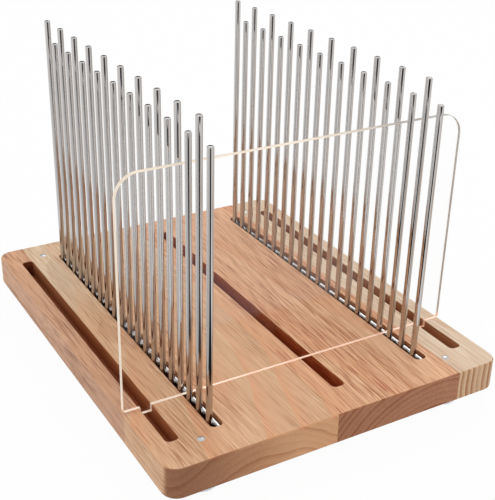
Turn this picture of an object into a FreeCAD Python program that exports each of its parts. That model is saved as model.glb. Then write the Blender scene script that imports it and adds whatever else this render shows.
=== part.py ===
import FreeCAD, Part

# Bread slicer guide: a glued wooden board on four clear feet, with two combs of upright steel
# rods that steer the knife, and a clear stop plate that drops between two pairs of rods.
#
# Frame: millimetres, +Z up. The origin is the middle of the footprint, at the level that the
# feet stand on. The front edge of the board faces -Y and the combs run along Y.

import os

import Sketcher
from FreeCAD import Vector

SHEET_NAME = "Dimensions"
RODS_PER_COMB = 20
PLATE_AFTER_ROD = 3  # the stop plate stands between this rod and the next one back
PARTS_FOLDER = "parts"
TOLERANCE = 1e-6
FILLET_SHARE = 0.95  # the most of a wall that a fillet may take

# Driving dimensions in millimetres: alias, value, what it sets.
DIMENSIONS = [
    ("foot_height", 10.0, "floor to underside of the board"),
    ("foot_top_diameter", 21.0, "foot where it meets the board"),
    ("foot_base_diameter", 20.0, "foot where it meets the floor"),
    ("foot_edge_round", 1.2, "rounding of the foot's lower edge"),
    ("foot_inset_x", 30.0, "side edge of the board to the middle of a foot"),
    ("foot_inset_y", 19.0, "front or back edge of the board to the middle of a foot"),
    ("board_thickness", 20.8, "thickness of the wood"),
    ("board_corner_radius", 10.0, "corners of the board seen from above"),
    ("board_edge_round", 1.2, "rounding of the long edges, top and bottom"),
    ("left_edge_stave_width", 19.0, "width of the outer stave on the left"),
    ("middle_joint_offset", 7.7, "glue joint of the two wide staves, left of the middle"),
    ("right_edge_stave_width", 34.0, "width of the outer stave on the right"),
    ("slot_depth", 12.0, "depth of every routed slot"),
    ("slot_corner_radius", 3.0, "upright corners at the ends of a slot, left by the cutter"),
    ("slot_mouth_chamfer", 0.3, "broken edge around the mouth of a slot"),
    ("slot_front_margin", 25.0, "front edge of the board to the slots"),
    ("slot_back_margin", 24.0, "back edge of the board to the slots"),
    ("comb_slot_spacing", 151.4, "middle of one comb slot to middle of the other"),
    ("guide_slot_offset", 28.9, "middle of a comb slot to middle of the guide slot beside it"),
    ("guide_slot_margin", 15.4, "middle of a guide slot to the side edge of the board"),
    ("guide_slot_width", 8.4, "width of the two outer slots, which take the plate's tabs"),
    ("centre_slot_width", 8.7, "width of the slot near the middle of the board"),
    ("centre_slot_offset", 10.2, "middle of that slot, right of the middle of the board"),
    ("rod_diameter", 4.0, "steel rod"),
    ("rod_end_chamfer", 0.5, "chamfer on both ends of a rod"),
    ("rod_pitch", 12.5, "rod to rod along a comb, which is the slice thickness"),
    ("long_rod_length", 195.0, "slot floor to tip of a long rod"),
    ("short_rod_length", 182.0, "slot floor to tip of a short rod"),
    ("comb_front_gap", 7.25, "front end of a comb slot to the middle of the first rod"),
    ("comb_back_gap", 6.25, "middle of the last rod to the back end of its slot"),
    ("rail_diameter", 4.0, "steel rail that the rods of one comb are welded to"),
    ("rail_end_round", 1.8, "rounding of the rail's ends"),
    ("rail_depth", 3.9, "top of the board down to the middle of the rail"),
    ("weld_gap", 0.04, "rod to rail, filled by the weld"),
    ("comb_side_gap", 0.08, "rod or rail to the wall of its slot"),
    ("plate_thickness", 3.0, "clear stop plate"),
    ("plate_height", 150.0, "board to top edge of the plate"),
    ("plate_shoulder", 11.0, "tab to side edge of the plate"),
    ("plate_corner_radius", 15.0, "upper corners of the plate"),
    ("plate_foot_radius", 2.0, "lower outer corners of the plate"),
    ("tab_depth", 4.7, "how far a tab reaches into its slot"),
    ("tab_play", 0.4, "slack on each side of a tab that stands in the middle of its slot"),
    ("tab_wall_gap", 0.15, "what is left of that slack on the right of a tab"),
    ("plate_seat_gap", 0.1, "plate to the top of the board"),
    ("screw_diameter", 2.8, "shank of a foot screw"),
    ("screw_hole_gap", 0.1, "shank to the wall of its hole in the wood"),
    ("screw_foot_gap", 0.05, "shank to the wall of its hole in the foot"),
    ("screw_bite", 6.0, "how far the shank reaches into the foot"),
    ("screw_tip_gap", 0.5, "screw tip to the bottom of its hole"),
    ("screw_head_diameter", 4.8, "domed head on top of the board"),
    ("screw_head_height", 0.9, "height of that head"),
    ("trim_allowance", 5.0, "how far the stave cutters reach past the board"),
]

# Places that several pieces share, as expressions on the sheet.
D = SHEET_NAME + "."
COMB_LENGTH = f"({RODS_PER_COMB - 1} * {D}rod_pitch)"
SLOT_LENGTH = f"({D}comb_front_gap + {COMB_LENGTH} + {D}comb_back_gap)"
BOARD_LENGTH = f"({SLOT_LENGTH} + {D}slot_front_margin + {D}slot_back_margin)"
GUIDE_SLOT_X = f"({D}comb_slot_spacing / 2 + {D}guide_slot_offset)"
HALF_WIDTH = f"({GUIDE_SLOT_X} + {D}guide_slot_margin)"
FRONT = f"(0 - {BOARD_LENGTH} / 2)"
BACK = f"({BOARD_LENGTH} / 2)"
SLOT_FRONT = f"({FRONT} + {D}slot_front_margin)"
SLOT_BACK = f"({BACK} - {D}slot_back_margin)"
BOARD_TOP = f"({D}foot_height + {D}board_thickness)"
SLOT_FLOOR = f"({BOARD_TOP} - {D}slot_depth)"
COMB_SLOT_WIDTH = f"({D}rod_diameter + {D}rail_diameter + {D}weld_gap + 2 * {D}comb_side_gap)"
NARROWEST_SLOT = f"min({COMB_SLOT_WIDTH}; {D}guide_slot_width; {D}centre_slot_width)"
SLOT_CORNER = f"min({D}slot_corner_radius; {FILLET_SHARE} * {NARROWEST_SLOT} / 2)"
RAIL_END_ROUND = f"min({D}rail_end_round; {FILLET_SHARE} * {D}rail_diameter / 2)"
FOOT_X = f"({HALF_WIDTH} - {D}foot_inset_x)"
FOOT_Y = f"({BACK} - {D}foot_inset_y)"
TAB_WIDTH = f"({D}guide_slot_width - 2 * {D}tab_play)"

SIDES = {"left": -1, "right": 1}
ENDS = {"front": -1, "back": 1}

doc = FreeCAD.newDocument("bread_slicer_guide")
sub_parts = []


def make_sheet():
    """Writes the driving dimensions, one row each."""
    sheet = doc.addObject("Spreadsheet::Sheet", SHEET_NAME)
    for row, (alias, size, meaning) in enumerate(DIMENSIONS, start=1):
        sheet.set(f"A{row}", alias)
        sheet.set(f"B{row}", str(size))
        sheet.setAlias(f"B{row}", alias)
        sheet.set(f"C{row}", meaning)
    doc.recompute()
    return sheet


dimensions = make_sheet()


def value(expression):
    """The number that an expression on the sheet stands for."""
    return float(dimensions.evalExpression(expression))


def place(piece, x="0", y="0", z="0"):
    """Binds the place of a piece to expressions on the sheet."""
    for axis, expression in zip("xyz", (x, y, z)):
        piece.setExpression(f"Placement.Base.{axis}", expression)


def new_body(label):
    """An empty PartDesign body with its own label."""
    body = doc.addObject("PartDesign::Body", label)
    body.Label = label
    return body


def new_sketch(body, role, name):
    """A sketch on one of the body's own origin planes."""
    sketch = body.newObject("Sketcher::SketchObject", name)
    plane = next(p for p in body.Origin.OriginFeatures if p.Role == role)
    sketch.AttachmentSupport = [(plane, "")]
    sketch.MapMode = "FlatFace"
    return sketch


def fix_point(sketch, geometry, end, x, y):
    """Holds one point of a sketch at two expressions."""
    for kind, expression in (("DistanceX", x), ("DistanceY", y)):
        constraint = Sketcher.Constraint(kind, -1, 1, geometry, end, value(expression))
        index = sketch.addConstraint(constraint)
        sketch.setExpression(f"Constraints[{index}]", expression)


def polygon(body, role, name, corners):
    """A closed outline of straight lines through corners given as pairs of expressions."""
    sketch = new_sketch(body, role, name)
    points = [Vector(value(x), value(y), 0) for x, y in corners]
    count = len(points)
    for i in range(count):
        sketch.addGeometry(Part.LineSegment(points[i], points[(i + 1) % count]), False)
    for i, (x, y) in enumerate(corners):
        sketch.addConstraint(Sketcher.Constraint("Coincident", i, 2, (i + 1) % count, 1))
        fix_point(sketch, i, 1, x, y)
    return sketch


def cut_slot(body, name, x, width):
    """Cuts a square-cornered slot down from the top of the board."""
    left, right = f"({x} - {width} / 2)", f"({x} + {width} / 2)"
    corners = [(left, SLOT_FRONT), (right, SLOT_FRONT), (right, SLOT_BACK), (left, SLOT_BACK)]
    return cut(body, polygon(body, "XY_Plane", name, corners), f"{D}slot_depth")


def revolve(body, sketch):
    """Turns a half profile about the sketch's vertical axis."""
    feature = body.newObject("PartDesign::Revolution", "Turned")
    feature.Profile = sketch
    feature.ReferenceAxis = (sketch, ["V_Axis"])
    feature.Angle = 360
    doc.recompute()
    return feature


def round_edges(body, base, wanted, radius):
    """Fillets each edge of the base feature that the test picks."""
    names = [f"Edge{i}" for i, edge in enumerate(base.Shape.Edges, start=1) if wanted(edge)]
    fillet = body.newObject("PartDesign::Fillet", "Rounded")
    fillet.Base = (base, names)
    fillet.setExpression("Radius", radius)
    doc.recompute()
    return fillet


def cut(body, sketch, depth):
    """A pocket straight down from the sketch, checked to have taken wood away."""
    before = body.Shape.Volume
    pocket = body.newObject("PartDesign::Pocket", "Cut")
    pocket.Profile = sketch
    pocket.setExpression("Length", depth)
    doc.recompute()
    if pocket.Shape.Volume >= before:
        raise RuntimeError(f"{sketch.Label} cut nothing from {body.Label}")
    return pocket


def is_level(edge, height):
    """True for an edge that lies flat at the height."""
    box = edge.BoundBox
    return box.ZLength < TOLERANCE and abs(box.ZMin - height) < TOLERANCE


def is_upright(edge):
    """True for a straight edge along Z."""
    box = edge.BoundBox
    return box.XLength < TOLERANCE and box.YLength < TOLERANCE


# ---------------------------------------------------------------- wooden board


def make_board_blank():
    """The whole board after gluing, shaping, routing and drilling. Its top is at local z = 0."""
    body = new_body("board_blank")
    place(body, z=BOARD_TOP)
    left, right = f"(0 - {HALF_WIDTH})", HALF_WIDTH
    corners = [(left, FRONT), (right, FRONT), (right, BACK), (left, BACK)]
    pad = body.newObject("PartDesign::Pad", "Thickness")
    pad.Profile = polygon(body, "XY_Plane", "Blank_outline", corners)
    pad.Reversed = True
    pad.setExpression("Length", f"{D}board_thickness")
    doc.recompute()
    shaped = round_edges(body, pad, is_upright, f"{D}board_corner_radius")
    underside = -value(f"{D}board_thickness")
    round_edges(
        body,
        shaped,
        lambda edge: is_level(edge, 0) or is_level(edge, underside),
        f"{D}board_edge_round",
    )
    for side, sign in SIDES.items():
        cut_slot(body, f"Comb_slot_{side}", f"({sign} * {D}comb_slot_spacing / 2)", COMB_SLOT_WIDTH)
        cut_slot(body, f"Guide_slot_{side}", f"({sign} * {GUIDE_SLOT_X})", f"{D}guide_slot_width")
    slots = cut_slot(body, "Centre_slot", f"{D}centre_slot_offset", f"{D}centre_slot_width")
    depth = value(f"{D}slot_depth")
    cornered = round_edges(
        body,
        slots,
        lambda edge: is_upright(edge) and abs(edge.BoundBox.ZLength - depth) < TOLERANCE,
        SLOT_CORNER,
    )
    chamfer_mouths(body, cornered)
    cut(body, make_screw_hole_sketch(body), f"({D}board_thickness + {D}trim_allowance)")
    return body


def chamfer_mouths(body, base):
    """Breaks the edge around the mouth of every slot."""
    front, back = value(SLOT_FRONT) - TOLERANCE, value(SLOT_BACK) + TOLERANCE

    def at_a_mouth(edge):
        box = edge.BoundBox
        return is_level(edge, 0) and front < box.YMin and box.YMax < back

    names = [f"Edge{i}" for i, edge in enumerate(base.Shape.Edges, start=1) if at_a_mouth(edge)]
    chamfer = body.newObject("PartDesign::Chamfer", "Mouths")
    chamfer.Base = (base, names)
    chamfer.setExpression("Size", f"{D}slot_mouth_chamfer")
    doc.recompute()


def make_screw_hole_sketch(body):
    """Four circles, one above each foot."""
    sketch = new_sketch(body, "XY_Plane", "Screw_holes")
    radius = f"({D}screw_diameter / 2 + {D}screw_hole_gap)"
    for x_sign in SIDES.values():
        for y_sign in ENDS.values():
            x, y = f"({x_sign} * {FOOT_X})", f"({y_sign} * {FOOT_Y})"
            circle = Part.Circle(Vector(value(x), value(y), 0), Vector(0, 0, 1), value(radius))
            index = sketch.addGeometry(circle, False)
            fix_point(sketch, index, 3, x, y)
            constraint = sketch.addConstraint(Sketcher.Constraint("Radius", index, value(radius)))
            sketch.setExpression(f"Constraints[{constraint}]", radius)
    return sketch


def make_staves():
    """The four staves: the blank, divided at its three glue joints."""
    blank = make_board_blank()
    reach = f"{D}trim_allowance"
    joints = [
        f"(0 - {HALF_WIDTH} - {reach})",
        f"({D}left_edge_stave_width - {HALF_WIDTH})",
        f"(0 - {D}middle_joint_offset)",
        f"({HALF_WIDTH} - {D}right_edge_stave_width)",
        f"({HALF_WIDTH} + {reach})",
    ]
    labels = ["stave_left_edge", "stave_left", "stave_right", "stave_right_edge"]
    for label, low, high in zip(labels, joints[:-1], joints[1:]):
        cutter = doc.addObject("Part::Box", f"{label}_cutter")
        cutter.setExpression("Length", f"{high} - {low}")
        cutter.setExpression("Width", f"{BOARD_LENGTH} + 2 * {reach}")
        cutter.setExpression("Height", f"{D}board_thickness + 2 * {reach}")
        place(cutter, low, f"{FRONT} - {reach}", f"{D}foot_height - {reach}")
        stave = doc.addObject("Part::Common", label)
        stave.Base = blank
        stave.Tool = cutter
        stave.Label = label
        sub_parts.append(stave)


# ---------------------------------------------------------------- steel combs


def rod_y(number):
    """Place along Y of a rod, counted from 1 at the front."""
    return f"({SLOT_FRONT} + {D}comb_front_gap + {number - 1} * {D}rod_pitch)"


def make_rod(side, number):
    """An upright rod with both ends chamfered. It stands on the slot floor, on the left of the
    rail, and odd rods are short."""
    length = D + ("short_rod_length" if number % 2 else "long_rod_length")
    radius, chamfer = f"({D}rod_diameter / 2)", f"{D}rod_end_chamfer"
    body = new_body(f"guide_rod_{side}_{number:02d}")
    profile = [
        ("0", "0"),
        (f"{radius} - {chamfer}", "0"),
        (radius, chamfer),
        (radius, f"{length} - {chamfer}"),
        (f"{radius} - {chamfer}", length),
        ("0", length),
    ]
    revolve(body, polygon(body, "XZ_Plane", "Rod_profile", profile))
    slot_x = f"{SIDES[side]} * {D}comb_slot_spacing / 2"
    to_wall = f"({COMB_SLOT_WIDTH} / 2 - {D}comb_side_gap - {radius})"
    place(body, f"{slot_x} - {to_wall}", rod_y(number), SLOT_FLOOR)
    sub_parts.append(body)


def make_rail(side):
    """The rail that ties one comb together, a straight bar with rounded ends. It stops short of
    the slot's ends, so that its rounding clears the corners of the slot."""
    radius = f"({D}rail_diameter / 2)"
    end_gap = f"max({SLOT_CORNER} - {RAIL_END_ROUND}; {D}comb_side_gap)"
    half = f"({SLOT_LENGTH} / 2 - {end_gap})"
    body = new_body(f"comb_rail_{side}")
    profile = [("0", f"0 - {half}"), (radius, f"0 - {half}"), (radius, half), ("0", half)]
    bar = revolve(body, polygon(body, "XY_Plane", "Rail_profile", profile))
    half_length = value(half)

    def at_an_end(edge):
        box = edge.BoundBox
        return box.YLength < TOLERANCE and abs(abs(box.YMin) - half_length) < TOLERANCE

    round_edges(body, bar, at_an_end, RAIL_END_ROUND)
    slot_x = f"{SIDES[side]} * {D}comb_slot_spacing / 2"
    to_wall = f"({COMB_SLOT_WIDTH} / 2 - {D}comb_side_gap - {radius})"
    slot_middle = f"({SLOT_FRONT} + {SLOT_BACK}) / 2"
    place(body, f"{slot_x} + {to_wall}", slot_middle, f"{BOARD_TOP} - {D}rail_depth")
    sub_parts.append(body)


# ---------------------------------------------------------------- stop plate


def make_stop_plate():
    """The clear plate. Its shoulders stand on the board and its two tabs drop into the guide
    slots. Local z = 0 is the underside of the shoulders."""
    inner = f"({GUIDE_SLOT_X} - {TAB_WIDTH} / 2)"
    outer = f"({GUIDE_SLOT_X} + {TAB_WIDTH} / 2)"
    edge_x = f"({outer} + {D}plate_shoulder)"
    top, tab_end = f"{D}plate_height", f"0 - {D}tab_depth"
    right_half = [
        (inner, "0"),
        (inner, tab_end),
        (outer, tab_end),
        (outer, "0"),
        (edge_x, "0"),
        (edge_x, top),
    ]
    left_half = [(f"0 - {x}", z) for x, z in reversed(right_half)]
    body = new_body("stop_plate")
    pad = body.newObject("PartDesign::Pad", "Thickness")
    pad.Profile = polygon(body, "XZ_Plane", "Plate_outline", right_half + left_half)
    pad.setExpression("Length", f"{D}plate_thickness")
    pad.SideType = "Symmetric"
    doc.recompute()

    def corner_at(height):
        level, side = value(height), value(edge_x)

        def wanted(edge):
            box = edge.BoundBox
            across = box.XLength < TOLERANCE and box.ZLength < TOLERANCE
            at_side = abs(abs(box.XMin) - side) < TOLERANCE
            return across and at_side and abs(box.ZMin - level) < TOLERANCE

        return wanted

    shaped = round_edges(body, pad, corner_at(top), f"{D}plate_corner_radius")
    round_edges(body, shaped, corner_at("0"), f"{D}plate_foot_radius")
    place(
        body,
        f"{D}tab_play - {D}tab_wall_gap",
        f"({rod_y(PLATE_AFTER_ROD)} + {rod_y(PLATE_AFTER_ROD + 1)}) / 2",
        f"{BOARD_TOP} + {D}plate_seat_gap",
    )
    sub_parts.append(body)


# ---------------------------------------------------------------- feet and screws


def make_foot(end, side):
    """A clear foot: a short taper with a rounded lower edge and a blind hole for its screw."""
    base, top = f"({D}foot_base_diameter / 2)", f"({D}foot_top_diameter / 2)"
    hole = f"({D}screw_diameter / 2 + {D}screw_foot_gap)"
    height = f"{D}foot_height"
    hole_floor = f"({height} - {D}screw_bite - {D}screw_tip_gap)"
    body = new_body(f"foot_{end}_{side}")
    profile = [
        ("0", "0"),
        (base, "0"),
        (top, height),
        (hole, height),
        (hole, hole_floor),
        ("0", hole_floor),
    ]
    turned = revolve(body, polygon(body, "XZ_Plane", "Foot_profile", profile))
    round_edges(body, turned, lambda edge: is_level(edge, 0), f"{D}foot_edge_round")
    place(body, f"{SIDES[side]} * {FOOT_X}", f"{ENDS[end]} * {FOOT_Y}")
    sub_parts.append(body)


def make_foot_screw(end, side):
    """A screw that holds a foot, with a low domed head on top of the board."""
    shank, head = f"({D}screw_diameter / 2)", f"({D}screw_head_diameter / 2)"
    head_height = f"{D}screw_head_height"
    tip = f"(0 - {D}board_thickness - {D}screw_bite)"
    body = new_body(f"foot_screw_{end}_{side}")
    profile = [
        ("0", tip),
        (shank, tip),
        (shank, "0"),
        (head, "0"),
        (head, head_height),
        ("0", head_height),
    ]
    turned = revolve(body, polygon(body, "XZ_Plane", "Screw_profile", profile))
    crown = value(head_height)
    round_edges(body, turned, lambda edge: is_level(edge, crown), f"{FILLET_SHARE} * {head_height}")
    place(body, f"{SIDES[side]} * {FOOT_X}", f"{ENDS[end]} * {FOOT_Y}", BOARD_TOP)
    sub_parts.append(body)


def check_document():
    """Stops before anything is written if an object failed or a sub-part is not sound."""
    doc.recompute()
    for item in doc.Objects:
        if "Invalid" in item.State or "Error" in item.State:
            raise RuntimeError(f"{item.Label} failed: {item.State}")
    for piece in sub_parts:
        shape = piece.Shape
        if shape.isNull() or not shape.isValid() or shape.Volume <= 0:
            raise RuntimeError(f"{piece.Label} has no sound shape")


def export():
    """Writes each sub-part to a STEP file of its own."""
    os.makedirs(PARTS_FOLDER, exist_ok=True)
    for piece in sub_parts:
        piece.Shape.exportStep(os.path.join(PARTS_FOLDER, f"{piece.Label}.step"))


make_staves()
for comb_side in SIDES:
    make_rail(comb_side)
    for rod_number in range(1, RODS_PER_COMB + 1):
        make_rod(comb_side, rod_number)
make_stop_plate()
for foot_end in ENDS:
    for foot_side in SIDES:
        make_foot(foot_end, foot_side)
        make_foot_screw(foot_end, foot_side)
check_document()
export()
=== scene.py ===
"""Looks of the bread slicer guide: a glued wooden board, two steel combs, a clear stop plate, feet.

Everything is in metres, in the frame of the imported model: +Z up, -Y towards the front edge of
the board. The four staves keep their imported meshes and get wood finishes. The turned pieces and
the stop plate are made again as finer surfaces of the same size. Finishes read places in
millimetres, so their lengths are in millimetres too.
"""

import logging
import math
from dataclasses import dataclass, replace
from enum import Enum

import bpy
import numpy as np
from mathutils import Matrix, Vector


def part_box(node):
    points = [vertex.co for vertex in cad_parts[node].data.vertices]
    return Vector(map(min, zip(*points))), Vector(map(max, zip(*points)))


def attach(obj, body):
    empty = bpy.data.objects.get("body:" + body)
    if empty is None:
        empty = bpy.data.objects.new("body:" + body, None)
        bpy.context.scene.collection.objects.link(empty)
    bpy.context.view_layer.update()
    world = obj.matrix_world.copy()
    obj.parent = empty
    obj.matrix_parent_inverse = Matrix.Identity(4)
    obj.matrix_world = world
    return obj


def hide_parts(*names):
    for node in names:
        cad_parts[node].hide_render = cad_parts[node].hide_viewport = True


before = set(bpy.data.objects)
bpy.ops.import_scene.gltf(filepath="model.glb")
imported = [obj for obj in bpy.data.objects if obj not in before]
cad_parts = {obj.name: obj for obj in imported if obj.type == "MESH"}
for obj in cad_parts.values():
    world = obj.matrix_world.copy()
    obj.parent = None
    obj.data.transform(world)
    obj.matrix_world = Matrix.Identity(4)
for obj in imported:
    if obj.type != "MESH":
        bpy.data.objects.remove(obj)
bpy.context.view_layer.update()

LOG = logging.getLogger("bread_slicer_guide")

Colour = tuple[float, float, float]
Point = tuple[float, float, float]
Span = tuple[float, float]
Outline = tuple[tuple[float, float], ...]
Socket = bpy.types.NodeSocket
Source = Socket | float | Colour

MM = 0.001
MM_PER_M = 1000.0
UP, ALONG = Vector((0, 0, 1)), Vector((0, 1, 0))
BLACK, WHITE = (0.0, 0.0, 0.0), (1.0, 1.0, 1.0)

# Most values of a noise texture lie in this span.
USUAL_NOISE: Span = (0.3, 0.7)


class Body(Enum):
    """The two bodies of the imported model."""

    BOARD = "board_and_combs"
    PLATE = "stop_plate"


class Side(Enum):
    """The two sides of the board."""

    LEFT = "left"
    RIGHT = "right"


class End(Enum):
    """The two ends of the board."""

    FRONT = "front"
    BACK = "back"


class MaterialSlot(Enum):
    """The record's material slots of the pieces that are made again."""

    POLISHED_STEEL = "polished_steel"
    SCREW_STEEL = "screw_steel"
    CLEAR_ACRYLIC = "clear_acrylic"
    CLEAR_FOOT = "clear_foot"


class Blend(Enum):
    """How one colour is laid over another."""

    MIX = "MIX"
    MULTIPLY = "MULTIPLY"


def linear(red: int, green: int, blue: int) -> Colour:
    """A display colour as linear light.

    Each channel c of 0 to 1 becomes c / 12.92 below 0.04045, and ((c + 0.055) / 1.055) ** 2.4
    above it.

    Args:
        red: Red, 0 to 255.
        green: Green, 0 to 255.
        blue: Blue, 0 to 255.

    Returns:
        The three linear channels.
    """
    channels = np.array([red, green, blue]) / 255
    low, high = channels / 12.92, ((channels + 0.055) / 1.055) ** 2.4
    bright = np.where(channels <= 0.04045, low, high)
    return (float(bright[0]), float(bright[1]), float(bright[2]))


# ---------------------------------------------------------------- surfaces


def soften(corners: np.ndarray, radii: np.ndarray, steps: int, closed: bool) -> np.ndarray:
    """An outline with its corners rounded by arcs.

    At a corner c, a and b are the unit directions to its neighbours and 2h is the angle between
    them. The arc of radius r has its centre at c + (r / sin h) m, where m is the unit vector
    along a + b, and it touches both sides r / tan h from the corner.

    Args:
        corners: Corner points, one row of two numbers each.
        radii: One radius for each corner. Zero keeps the corner sharp.
        steps: Spans in each arc.
        closed: True where the last corner joins the first. The ends of an open outline stay.

    Returns:
        The points of the outline, one row each.
    """
    pieces: list[np.ndarray] = []
    count = len(corners)
    for i, (corner, radius) in enumerate(zip(corners, radii)):
        if radius <= 0 or (not closed and i in (0, count - 1)):
            pieces.append(corner[None, :])
            continue
        before, after = corners[i - 1] - corner, corners[(i + 1) % count] - corner
        a, b = before / np.linalg.norm(before), after / np.linalg.norm(after)
        half = 0.5 * math.acos(float(np.clip(a @ b, -1, 1)))
        middle = (a + b) / np.linalg.norm(a + b)
        centre = corner + middle * radius / math.sin(half)
        start = corner + a * radius / math.tan(half) - centre
        turn = math.pi - 2 * half
        sense = math.copysign(1.0, a[1] * b[0] - a[0] * b[1])
        angles = sense * turn * np.linspace(0, 1, steps + 1)
        cosine, sine = np.cos(angles), np.sin(angles)
        arc = np.stack(
            [start[0] * cosine - start[1] * sine, start[0] * sine + start[1] * cosine], axis=1
        )
        pieces.append(centre + arc)
    return np.concatenate(pieces)


def band_faces(rings: int, around: int) -> np.ndarray:
    """The quads between rings of points that each close on themselves.

    Quad (i, j) joins points (i, j), (i, j + 1), (i + 1, j + 1) and (i + 1, j), and j + 1 is taken
    modulo the number of points in a ring.

    Args:
        rings: Number of rings.
        around: Points in each ring.

    Returns:
        One row of four point numbers for each quad.
    """
    i, j = np.meshgrid(np.arange(rings - 1), np.arange(around), indexing="ij")
    k = (j + 1) % around
    quads = [i * around + j, i * around + k, (i + 1) * around + k, (i + 1) * around + j]
    return np.stack(quads, axis=-1).reshape(-1, 4)


def new_piece(
    name: str, points: np.ndarray, faces: list[list[int]], crease: float = 30.0
) -> bpy.types.Object:
    """A mesh object at the origin, shaded smooth up to a crease angle.

    Args:
        name: Name of the piece.
        points: One row of x, y, z for each point, in metres.
        faces: Point numbers of each face, counted anticlockwise from outside.
        crease: Edges that turn by more than this, in degrees, stay sharp.

    Returns:
        The new object, linked to the scene.
    """
    mesh = bpy.data.meshes.new(name)
    mesh.from_pydata(points.tolist(), [], faces)
    mesh.update()
    mesh.shade_smooth()
    mesh.set_sharp_from_angle(angle=math.radians(crease))
    piece = bpy.data.objects.new(name, mesh)
    bpy.context.scene.collection.objects.link(piece)
    return piece


def middle_below(low: Vector, high: Vector) -> Vector:
    """The middle of the lower face of a box."""
    return Vector(((low.x + high.x) / 2, (low.y + high.y) / 2, low.z))


def turned(
    name: str, profile: np.ndarray, base: Vector, along: Vector, around: int
) -> bpy.types.Object:
    """A solid of revolution, closed at both poles.

    With the profile's radius r(u) and height h(u), a point of the surface is
    base + r(u) cos t A + r(u) sin t B + h(u) N, where N is the axis and A, B, N are square to
    each other. The first and last profile points lie on the axis and are the poles, each with
    a triangle to every span of the ring beside it.

    Args:
        name: Name of the piece.
        profile: Rows of radius and height, from the lower pole to the upper one.
        base: Where height zero is.
        along: Direction of the axis.
        around: Points in each ring.

    Returns:
        The new object.
    """
    axis = np.array(along.normalized())
    helper = np.array([1.0, 0.0, 0.0]) if abs(axis[0]) < 0.5 else np.array([0.0, 1.0, 0.0])
    a = helper - axis * (helper @ axis)
    a /= np.linalg.norm(a)
    b = np.cross(axis, a)
    angle = 2 * np.pi * np.arange(around) / around
    spoke = np.cos(angle)[:, None] * a + np.sin(angle)[:, None] * b
    inner = profile[1:-1]
    rings = inner[:, 0, None, None] * spoke[None] + inner[:, 1, None, None] * axis
    poles = profile[[0, -1], 1][:, None] * axis
    points = np.concatenate([rings.reshape(-1, 3), poles]) + np.array(base)
    low, high = np.full(around, len(points) - 2), np.full(around, len(points) - 1)
    last = (len(inner) - 1) * around
    j = np.arange(around)
    k = (j + 1) % around
    caps = np.stack([low, k, j, high, last + j, last + k], axis=1).reshape(-1, 3)
    faces = band_faces(len(inner), around).tolist() + caps.tolist()
    return new_piece(name, points, faces)


def finish_piece(
    piece: bpy.types.Object,
    node: str,
    body: Body,
    materials: list[bpy.types.Material],
) -> None:
    """Gives a new piece its materials, and puts it in the place of its CAD node.

    Args:
        piece: The new object.
        node: The CAD node that it stands for.
        body: The body that it moves with.
        materials: Materials, in the order of the mesh's own slots.
    """
    for material in materials:
        piece.data.materials.append(material)
    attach(piece, body.value)
    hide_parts(node)
    LOG.info("%s stands for %s, %d faces", piece.name, node, len(piece.data.polygons))


# ---------------------------------------------------------------- shader graphs


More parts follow.
